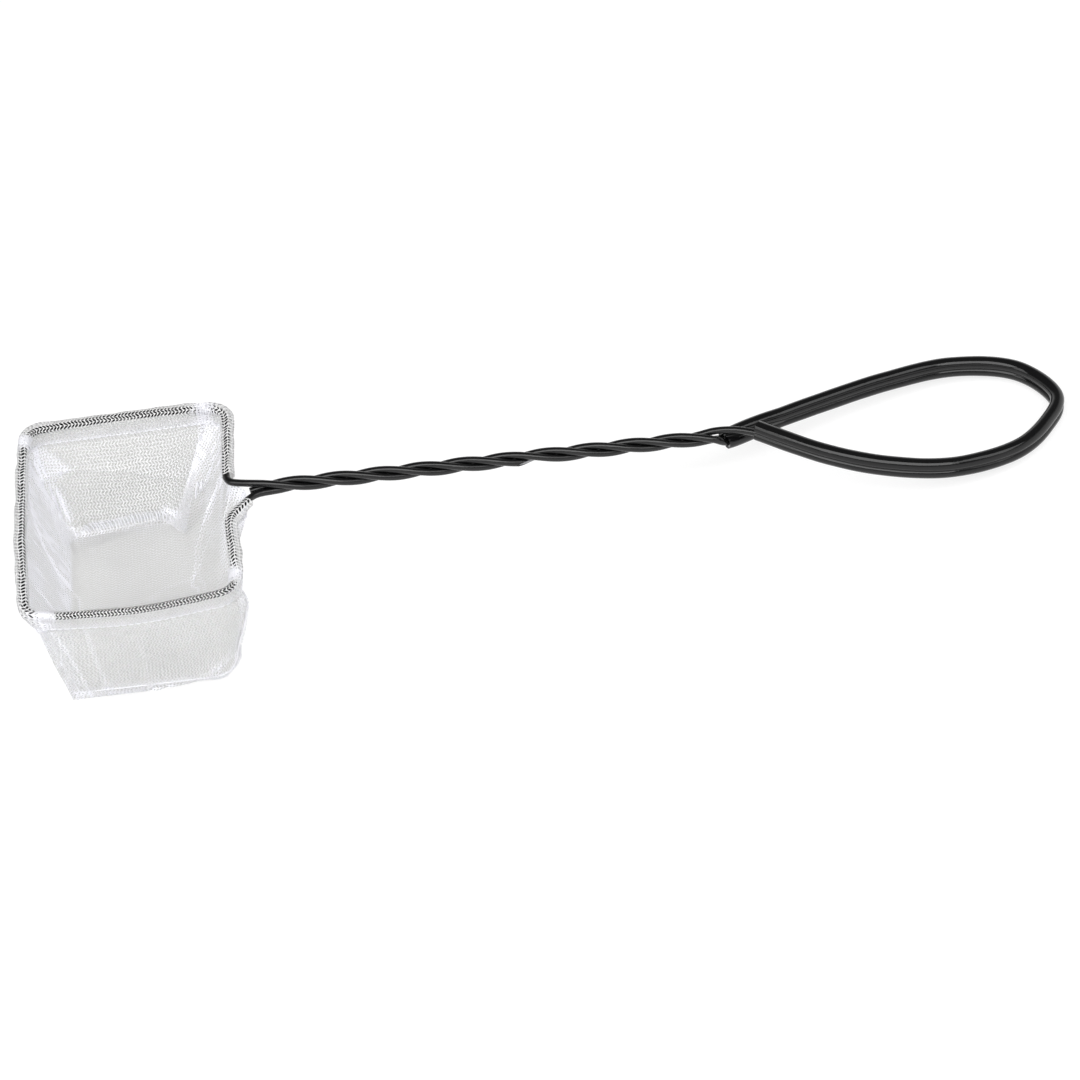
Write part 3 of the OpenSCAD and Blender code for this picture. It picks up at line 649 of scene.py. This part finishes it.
def near_bend(k, t):
    """The near panel's bend. Its right edge bellies out like half a sine wave, and draws in lower down; its lower
    right corner is rounded: with p and q the nearness to both edges inside a 13 mm square, from 0 to 1, p becomes
    p * sqrt(1 - q * q / 2), and q likewise. The left flap stands out at its top, and the foot steps up at a fold."""
    square, width, height = 13, 62, 41
    p, q = part(1 - (1 - k) * width / square), part(1 - (1 - t) * height / square)
    out = right_belly * k * np.sin(math.pi * t) - 4.2 * step((t - 0.2) / 0.45) * part(2 * k - 1) ** 2
    out = out - 2.9 * part(1 - 5 * k) ** 2 * (1 - t) - square * p * (1 - np.sqrt(1 - q * q / 2))
    out = out + shoulder(t) * part(4 * k - 3) ** 2
    fold = 2.6 * part((t - 0.93) / 0.07) * part((k - 0.42) / 0.04)
    return out, 0 * out, fold * (1 - p) + square * q * (1 - np.sqrt(1 - p * p / 2))


def far_bend(k, t):
    """The far panel's bend: between its corners the foot is drawn up and out, and its flap is turned up behind it."""
    middle = step((0.9 - k) / 0.75) * step(k / 0.2)
    rise, flap = middle * t**3, step((1 - k) / 0.25) * step(k / 0.2) * part((t - 0.9) / 0.1)
    return 0 * rise, 1.5 * rise + 2.8 * flap, 1.5 * rise + 7.6 * flap


def span_of(first, last, way, bend):
    """A panel's place: its seams' places on the hoop, their feet, the way out of the bag, and its bend."""
    return seam_at[first], seam_at[last], feet[first], feet[last], np.array([0, way, 0]), bend


near_span = span_of("near_left", "near_right", -1.0, near_bend)
far_span = span_of("far_right", "far_left", 1.0, far_bend)


def panel(span, paint, seed, bulge, stretch, bare, columns=190, rows=90):
    """One panel with its hem. paint gives the push along the cloth's face and the bunching."""
    k, t = np.meshgrid(np.linspace(0, 1, columns), np.linspace(1, 0, rows), indexing="ij")
    place = panel_place(span, k, t)
    width = np.linalg.norm(place[-1] - place[0], axis=-1)[None]
    height = np.linalg.norm(place[:, 0] - place[:, -1], axis=-1)[:, None]
    u, v = (k - 0.5) * width, t * height
    push, mark = paint(k, t)
    place = place + facing(place) * push[..., None]
    hemmed, hem_uv, hem_mark = hem(span[0] + (span[1] - span[0]) * k[:, 0], bulge, seed, stretch, bare)
    shell = Shell().grid(place, grid_of(u, -v), mark=np.clip(mark, -0.8, 1))
    return shell.grid(hemmed, hem_uv, mark=hem_mark)


# --------------
# The near panel: a piece of the net, hemmed over the wire, with its side and bottom edges overlocked to the strip.
# Its lower edge steps up at a fold, and its right corner is turned in round.
def near_paint(k, t):
    """Pushes in mm along the panel's face and the bunching, from 0 to 1. The left seam leans in from the corner, with
    a fluffy flap outside it, and a pleat runs beside it; the right seam's flap is turned in and crumpled."""
    width, height = 64.0, 41.0
    x, y, right_seam = k * width, t * height, width - 3.4
    seam, pleat = 2.0 + 4.8 * np.sqrt(t), 11.4 + 1.8 * t**2
    fluff, wrinkles = streaks(x, y, 61, 0.9, 5.0), streaks(x + y * 0.6, y, 62, 1.1, 4.0)
    fold = line_at(x, 27 + 0.5 * t, 1.3) * step((t - 0.15) / 0.2)
    corner = line_at(x, 55, 6.5) * line_at(y, 33, 6.0)
    flap_left, flap_right, flap_foot = step((seam - x) / 0.8), step((x - right_seam) / 0.8), step((t - 0.89) / 0.02)
    push = (0.9 * soft(x, y, 3, 16.0) + 0.25 * soft(x, y * 0.4, 4, 4.0) + 0.8 * fold - 0.7 * line_at(x, pleat, 1.4)
            + corner * (wrinkles - 0.4) + 0.5 * line_at(x, seam, 1.2))
    push = push * np.sin(math.pi * part(t * 1.02)) ** 0.5 + 0.35 * fluff * np.maximum(flap_left, flap_right)
    mark = 0.06 * soft(x, y, 8, 9.0) + 0.2 * fold + 0.34 * line_at(x, pleat, 0.8) + 0.08 * (x < pleat)
    mark += 0.12 * flap_left + 0.35 * flap_left * fluff + 0.6 * line_at(x, seam, 0.5)
    mark += 0.22 * flap_right + 0.3 * flap_right * fluff + 0.4 * line_at(x, right_seam, 0.5)
    mark += 0.55 * corner * wrinkles + 0.2 * corner + 0.2 * stroke(x, y, [(61, 8), (57, 26), (52, 32)], 1.5)
    mark += 0.22 * flap_foot + 0.4 * flap_foot * streaks(y, x, 63, 0.7, 3.0) * step((30 - x) / 12)
    return push, mark + 0.5 * line_at(t, 0.895, 0.012) + 0.12 * step(1 - y / 3)


near_net = panel(near_span, near_paint, 11, 0.76, 1.0, 0.72).piece("near_net", white_net, "white_mesh", "near_panel")


# --------------
# The far panel: the same cloth on the far side, shorter at its foot, which pulls folds in from both seams. Its left
# edge is crumpled into pleats, and its lower right corner is sewn into a thick white wad.
def far_paint(k, t):
    """As for the near panel; k runs from the right seam to the left one."""
    width, height = 56.0, 41.8
    x, y = k * width, t * height
    seam = 0.6 + 3.8 * step((t - 0.45) / 0.4)
    crumple = np.interp(t, [0, .15, .29, .385, .59, .75, .94, 1], [.86, .82, .75, .86, .845, .85, .866, .87]) * width
    arc = np.interp(k, [0, .26, .43, .7, .8, 1], [.5, .44, .35, .29, .3, .3])
    pleats, frays = streaks(x, y, 64, 0.8, 7.0), streaks(x + 0.5 * y, y, 65, 1.0, 3.5)
    wad = stroke(x, y, [(10, 33), (5, 35.5), (3.1, 39), (6.5, 41.3)], 1.9)
    left = step((x - crumple) / 1.5)
    push = (0.7 * soft(x, y, 5, 14.0) + 0.25 * soft(x, y, 6, 5.0) + 0.5 * line_at(x, crumple, 1.4)
            + 0.9 * left * (pleats - 0.35) - 0.5 * line_at(t, arc, 0.03))
    push = push * np.sin(math.pi * part(t * 0.97 + 0.015)) ** 0.5 + 0.6 * wad * frays
    # Above the fold line across the panel, and along it, the cloth is marked a little whiter: painted light on the
    # fold's upper side.
    mark = 0.06 * soft(x, y, 9, 8.0) + 0.07 * step((arc - t) / 0.03) + 0.16 * line_at(t, arc, 0.016)
    # The left crumple is marked whiter than its bunching gives: painted light that makes up for its shade at the hem's
    # corner.
    mark += left * (0.54 + 0.4 * pleats) + 0.45 * line_at(x, crumple, 0.8) * (0.4 + 0.6 * frays)
    mark += step((seam - x) / 0.8) * (0.35 + 0.4 * pleats) + 0.6 * line_at(x, seam, 0.8)
    window = step((t - 0.76) / 0.04) * (t < 0.885) * step((k - 0.12) / 0.1) * step((0.9 - k) / 0.1)
    mark = mark * step((1.1 - t) / 0.2) * (1 - window) + 0.8 * wad + 0.4 * line_at(t, 0.895, 0.012)
    return push, mark - 0.7 * window * (1 - wad)


far_net = panel(far_span, far_paint, 21, 1.05, 1.12, 0.74).piece("far_net", white_net, "white_mesh", "far_panel")

# --------------
# The side strip: one long piece of the net that makes the left wall, the bottom and the right wall. Its ends are
# hemmed over the wire on both sides of the handle, with a bridge of cloth below the twist between them.
end_columns = 90
far_top = np.linspace(hem_begins, seam_at["far_right"], end_columns)
near_top = np.linspace(seam_at["near_right"], hem_ends, end_columns)
right_top = np.concatenate([on_hoop(near_top), on_hoop(far_top)])
right_s = run_lengths(right_top)
left_x = np.linspace(seam_at["near_left"], seam_at["far_left"], 140)
left_top = on_hoop(left_x)
left_s = run_lengths(left_top)


def strip_place(a, b):
    """The strip at share a from its near edge to its far one and share b from the left hem, down the left wall,
    along the bottom and up the right wall. Each column is a line with two rounded corners, the feet."""
    p = along(left_top, left_s, a * left_s[-1])
    q = along(right_top, right_s, a * right_s[-1])
    share_p = (p[..., 1] - left_top[0, 1]) / (left_top[-1, 1] - left_top[0, 1])
    share_q = (q[..., 1] - right_top[0, 1]) / (right_top[-1, 1] - right_top[0, 1])
    foot_p = feet["near_left"] + (feet["far_left"] - feet["near_left"]) * share_p[..., None]
    foot_q = feet["near_right"] + (feet["far_right"] - feet["near_right"]) * share_q[..., None]
    foot_q[..., 0] -= 3.6 * part(1 - share_q) ** 3
    from_end = a * right_s[-1] - right_s[end_columns - 1]
    gap = np.exp(-(((from_end - 7) / 7.4) ** 6))
    bridge = line_at(from_end, 6, 4.2) * part(1 - (1 - b) / 0.12)
    q = q + bridge[..., None] * (2.2, 1.2, 0.4)
    p[..., 2] -= hem_h
    q[..., 2] += -hem_h + gap * (hem_h - 1.3)
    line = [p, foot_p, foot_q, q]
    sizes = [np.linalg.norm(line[i + 1] - line[i], axis=-1) for i in range(3)]
    ways = [(line[i + 1] - line[i]) / sizes[i][..., None] for i in range(3)]
    at_p, at_q, total = sizes[0], sizes[0] + sizes[1], sizes[0] + sizes[1] + sizes[2]
    s = b * total
    place = np.where((s < at_p)[..., None], p + ways[0] * s[..., None],
                     np.where((s < at_q)[..., None], foot_p + ways[1] * (s - at_p)[..., None],
                              foot_q + ways[2] * (s - at_q)[..., None]))
    for corner, before, after, at, cut in ((foot_p, ways[0], ways[1], at_p, 3.5),
                                           (foot_q, ways[1], ways[2], at_q, 4.0 + 9.0 * part(1 - share_q) ** 2)):
        t = part((s - at + cut) / (2 * cut))
        arc = corner + before * (-cut * (1 - t) ** 2)[..., None] + after * (cut * t**2)[..., None]
        place = np.where((np.abs(s - at) < cut)[..., None], arc, place)
    belly = part((s - at_q) / sizes[2])
    place[..., 0] += right_belly * (1 - share_q) * np.sin(math.pi * belly)
    place[..., 0] += shoulder(1 - belly) * part(1 - 3 * share_q) * (belly > 0)
    return place, s, total


def strip_paint(a, s, right):
    """Pushes along the strip's face and its bunching, at share a, s from the left hem and right from the right one.
    Gathers run along both seams, a double crease down the right wall on to the bottom, one crease across the left
    wall's foot, and slow sags in between. Both walls are marked whiter than the bottom: painted light that makes up
    for the weaker light on their steep faces."""
    y = a * 85
    edge = np.minimum(a, 1 - a) * 80
    ends = np.minimum(s, right)
    free = part(edge / 6) * part(ends / 8)
    down, frays = streaks(y, s, 71, 1.1, 9.0), streaks(y, s, 72, 0.8, 3.0)
    level = streaks(s, y, 73, 1.0, 5.0)
    double = (stroke(y, right, [(66, 9), (63.5, 28), (60.6, 35), (47, 43), (36, 47)], 0.75)
              + 0.6 * stroke(y, right, [(63, 12), (60.5, 27), (58, 33), (47, 39.5), (38, 43)], 0.7))
    arc = stroke(y, right, [(54.6, 22), (54.6, 31), (50.4, 50.8), (45.6, 61)], 0.8)
    foot = stroke(y, s, [(68, 4), (56, 14.5), (51, 25.5), (50, 38), (36, 41), (22, 43), (1, 47)], 1.1)
    push = free * (0.8 * soft(y, s, 33, 17.0) + 0.25 * soft(y, s, 34, 6.0) + 0.5 * double + 0.3 * arc + 0.7 * foot)
    push += (0.5 * (down - 0.3) * line_at(ends, 0, 16) + 0.5 * (level - 0.3) * line_at(edge, 0, 9)) * free
    wall_left, wall_right = step((36 - s) / 4), step((30 - right) / 6)
    fuzz = 0.6 * streaks(y, s, 74, 4.0, 9.0) + 0.25 * frays + 0.15 * down
    beside = line_at(y + 0.45 * s, 72, 9)
    mark = 0.06 * soft(y, s, 36, 9.0) + 0.42 * foot
    # The walls' whiteness is painted light, which makes up for the weaker light on their steep faces.
    mark += wall_left * (0.62 + 0.36 * fuzz + 0.3 * beside * (0.5 + frays))
    mark += 0.5 * double + 0.25 * arc + wall_right * (0.14 + 0.3 * down * step((a - 0.3) / 0.15))
    mark += step((a - 0.6) / 0.15) * step((24 - right) / 4) * (0.15 + 0.35 * frays)
    mark += 0.4 * stroke(y, right, [(70, 4), (56, 9), (42, 20), (36, 30)], 3.4) * (0.6 + 0.6 * frays)
    mark += line_at(edge, 0, 3.2) * (0.3 + 0.5 * level) * (0.5 + 0.5 * part((30 - ends) / 20))
    margin = 0.6 * line_at(right, 2, 4.5) * step((0.64 - a) / 0.1)
    return push, part(mark + margin + 0.2 * line_at(ends, 0, 2.5))


a, b = np.meshgrid(np.linspace(0, 1, 210), np.linspace(0, 1, 260), indexing="ij")
place, s, total = strip_place(a, b)
u = (a - 0.5) * np.linalg.norm(place[-1] - place[0], axis=-1)[None]
push, mark = strip_paint(a, s, total - s)
place = place + facing(place) * push[..., None]
drawn_up = step((s - 40) / (total - 78) / 0.83) * (s > 40) * step((total - s - 38) / 9) * a**8
place[..., 1] += 1.5 * drawn_up
place[..., 2] += 1.5 * drawn_up
strip = Shell().grid(place, grid_of(u, s), mark=mark)
strip_out = facing(place)
for edge, way in ((0, -1.0), (-1, 1.0)):
    line, turned, left, right = place[edge], strip_out[edge], s[edge], total[edge] - s[edge]
    if edge == 0:
        size, flat_foot = np.clip(np.minimum(left / 20 + 0.35, (right - 30) / 30), 0.15, 1), 0
    else:
        size, flat_foot = part(np.minimum(left, right) / 38), drawn_up[edge][:, None]
        turned = unit(turned + (step((left - 34) / 6) * step((right - 38) / 9))[:, None] * (0, 1.3, 2.4))
    out_by = np.linspace(0, 1, 7)
    reach = out_by[None] * allowance
    flap = line[:, None] + turned[:, None] * reach[..., None] * size[:, None, None] * 0.96
    flap[..., 1] += way * (0.25 + 0.5 * soft(left[:, None], reach * 0.4, 75 + edge, 1.6)) * out_by
    fluff = streaks(left[:, None], reach, 77 + edge, 0.7, 4.0)
    strip.grid(flap, grid_of(left[:, None], reach), mark=(0.3 + 0.5 * fluff) * (1 - 0.8 * flat_foot))
for xs, bulge, bare, seed in ((left_x, 1.0, 0.45, 41), (near_top, 1.25, 0.45, 43), (far_top, 1.1, 0.45, 45)):
    hemmed, hem_uv, hem_mark = hem(xs, bulge, seed, 1.45, bare)
    strip.grid(hemmed, hem_uv, mark=hem_mark)
strip_net = strip.piece("strip_net", white_net, "white_mesh", "side_strip")

# --------------
# The overlock seams: white polyester thread, laid over the edges of both flaps in slanting stitches 1.35 mm apart,
# with a needle thread that runs along the seam itself.
thread_r, stitch_gap, stitch_sides = 0.2, 1.35, 4

# Plied thread: pale and soft, with the lay of its plies as slanting ridges along the UV map, and a duller grey
# painted into the grooves between the plies as painted shade.
sewing_white, tree, shader, calc = material("white thread")
pale, ply_groove_shade = (0.96, 0.96, 1.0, 1), (0.7872, 0.7872, 0.82, 1)
place = node(tree, "ShaderNodeSeparateXYZ", {0: node(tree, "ShaderNodeUVMap", uv_map="cloth").outputs[0]})
ply = calc("SINE", calc("MULTIPLY_ADD", place.outputs[0], 11.0, calc("MULTIPLY", place.outputs[1], 6.28)))
feed(tree, shader, {
    "Base Color": mixed(tree, calc("MULTIPLY_ADD", ply, 0.5, 0.5), ply_groove_shade, pale),
    "Normal": bump(tree, ply, 0.4, 0.00004), "Roughness": 0.5, "Sheen Weight": 0.2})


def thread_rings(path, t, aside, sides, radius):
    """Rings round many threads at once: each thread runs along t, and its rings start square to aside."""
    side = unit(np.cross(t, aside))
    rise = np.cross(t, side)
    a = circle(sides)
    ring = side[:, :, None] * np.cos(a)[:, None] + rise[:, :, None] * np.sin(a)[:, None]
    return path[:, :, None] + ring * radius


def stitches(start, across, up, ahead, width, thickness):
    """Short loops of thread, one per row of the inputs: each rises from the seam, leans ahead over the flap, turns
    round its edge and comes back below, like a flat half ellipse. Its ends taper to points."""
    q = np.linspace(0, 1, 12)
    out_by = np.sin(math.pi * q)
    over = (0.25 + 1.6 * thickness) * out_by**0.35 * np.sign(0.5 - q)
    path = (start[:, None] + across[:, None] * (width[:, None] * out_by[None])[..., None]
            + up[:, None] * over[None, :, None] + ahead[:, None] * (2.6 * (q - 0.5))[None, :, None])
    radius = thickness * np.sin(math.pi * np.clip(q, 0.03, 0.97)) ** 0.25
    t = unit(np.gradient(path, axis=1))
    return thread_rings(path, t, ahead[:, None], stitch_sides, radius[None, :, None, None])


def overlock(name, span, seed, thickness):
    """Stitches all round a panel's two sides and foot, and the needle thread along the seam."""
    inset = allowance / 74
    corners = np.array([(0, .03), (inset, .9), (1 - inset, .9), (1, .03)])
    edges = np.array([(.004, .03), (.004, .985), (.996, .985), (.996, .03)])
    lengths = [38, 66 if span is near_span else 50, 38]
    shell, rng = Shell(), np.random.default_rng(seed)
    seam_line = []
    for i, length in enumerate(lengths):
        count = int(length / stitch_gap)
        share = (np.arange(count) + 0.5 + rng.uniform(-0.2, 0.2, count)) / count
        inner = corners[i] + (corners[i + 1] - corners[i]) * share[:, None]
        outer_edge = edges[i] + (edges[i + 1] - edges[i]) * share[:, None]
        p, q = (panel_place(span, x[:, 0], x[:, 1]) for x in (inner, outer_edge))
        ahead = unit(np.gradient(p, axis=0))
        across = unit(q - p)
        up = unit(np.cross(across, ahead))
        width = np.linalg.norm(q - p, axis=1) + 0.2 + rng.uniform(-0.25, 0.15, count)
        path = stitches(p - span[4] * 0.3, across, up, ahead, width, thickness)
        shell.grid(path, ring_uv(path[0, :, 0], stitch_sides, 1), closed=True, caps=True)
        seam_line.append(p)
    line = even(np.concatenate(seam_line) + span[4] * 0.15, 0.45)
    line = line + span[4] * (0.12 * np.sin(np.arange(len(line)) * 1.1))[:, None]
    shell.grid(tube(line, thread_r, 6), ring_uv(line, 6, 1), closed=True, caps=True)
    shell.piece(name + "_overlock", sewing_white, "white_thread", name + "_seam_thread")


overlock("near", near_span, 51, 0.17)
overlock("far", far_span, 52, 0.32)


# --------------
# The hem stitches: a row of short lockstitches 6 mm below the wire, one row per hem, through both of its layers.
def hem_row(name, *spans):
    """Stitches along the hem: each a short thread that sinks at both ends, the next one a gap further on."""
    shell, pace, length = Shell(), 2.3, 1.9
    for start, end in spans:
        q = np.linspace(0, 1, 7)
        s = np.arange(start + 0.8, end - 0.8, pace)[:, None] + length * q[None]
        for side in (0.35, -1.0):
            path = on_hoop(s) + hoop_out(s) * (side - 0.35 * (1 - np.sin(math.pi * q)) * np.sign(side))[None, :, None]
            path[..., 2] += 0.25 - hem_h
            rings = thread_rings(path, unit(np.gradient(path, axis=1)), [0, 0, 1.0], 5, thread_r)
            shell.grid(rings, ring_uv(path[0], 5, 1), closed=True, caps=True)
    shell.piece(name + "_hem_row", sewing_white, "white_thread", name + "_hem_thread")


hem_row("near", (seam_at["near_left"], seam_at["near_right"]))
hem_row("far", (seam_at["far_right"], seam_at["far_left"]))
hem_row("left", (seam_at["far_left"], seam_at["near_left"]))
hem_row("right", (hem_begins, seam_at["far_right"]), (seam_at["near_right"], hem_ends))

# --------------
# The corner tacks: the overlock thread wound some forty times round wire and hem where two hems meet.
tacks, turns, tack_points, tack_sides = Shell(), 40, 14, 4
q = circle(tack_points)
for number, name in enumerate(("far_right", "far_left", "near_left", "near_right")):
    rng = np.random.default_rng(60 + number)
    x = seam_at[name] + np.linspace(-2.8, 2.8, turns) + rng.uniform(-0.9, 0.9, turns)
    lean = rng.uniform(-4.0, 4.0, turns)
    r = (1.5 + rng.uniform(-0.1, 0.55, turns))[:, None]
    s = x[:, None] + lean[:, None] * np.cos(q) * 0.5
    path = on_hoop(s) + hoop_out(s) * (r * np.cos(q) * 1.05 + 0.1)[..., None]
    path[..., 2] += r * np.sin(q) - 0.15
    outwards = hoop_out(s) * np.cos(q)[:, None] + np.array([0, 0, 1.0]) * np.sin(q)[:, None]
    rings = thread_rings(path, unit(np.roll(path, -1, 1) - np.roll(path, 1, 1)), outwards, tack_sides, 0.12)
    rings = np.concatenate([rings, rings[:, :1]], 1)
    uv = grid_of(np.linspace(0, 12, tack_points + 1)[:, None], np.linspace(0, 1, tack_sides + 1))
    tacks.grid(rings, uv, closed=True)
tacks.piece("hem_tacks", sewing_white, "white_thread", "corner_tacks")

# --------------
# The tail: the far seam's thread ends in a loose knot on the inside of the right wall, with 7 mm hanging down.
knot_at, hanging = (-11.0, 28.8, -20.4), [(-.5, -.8, -1.8), (-.7, -.6, -4.2), (-1.0, .2, -6.5)]
turn = np.linspace(0, 2.6 * math.pi, 22)
tail = knot_at + grid_of(-0.25 * turn, 1.3 * np.cos(turn), 1.7 * np.sin(turn))
tail = even(np.concatenate([tail, tail[-1] + hanging]), 0.25)
Shell().grid(tube(tail, 0.38, 6), ring_uv(tail, 6, 1), closed=True, caps=True).piece(
    "seam_tail", sewing_white, "white_thread", "seam_thread_tail")
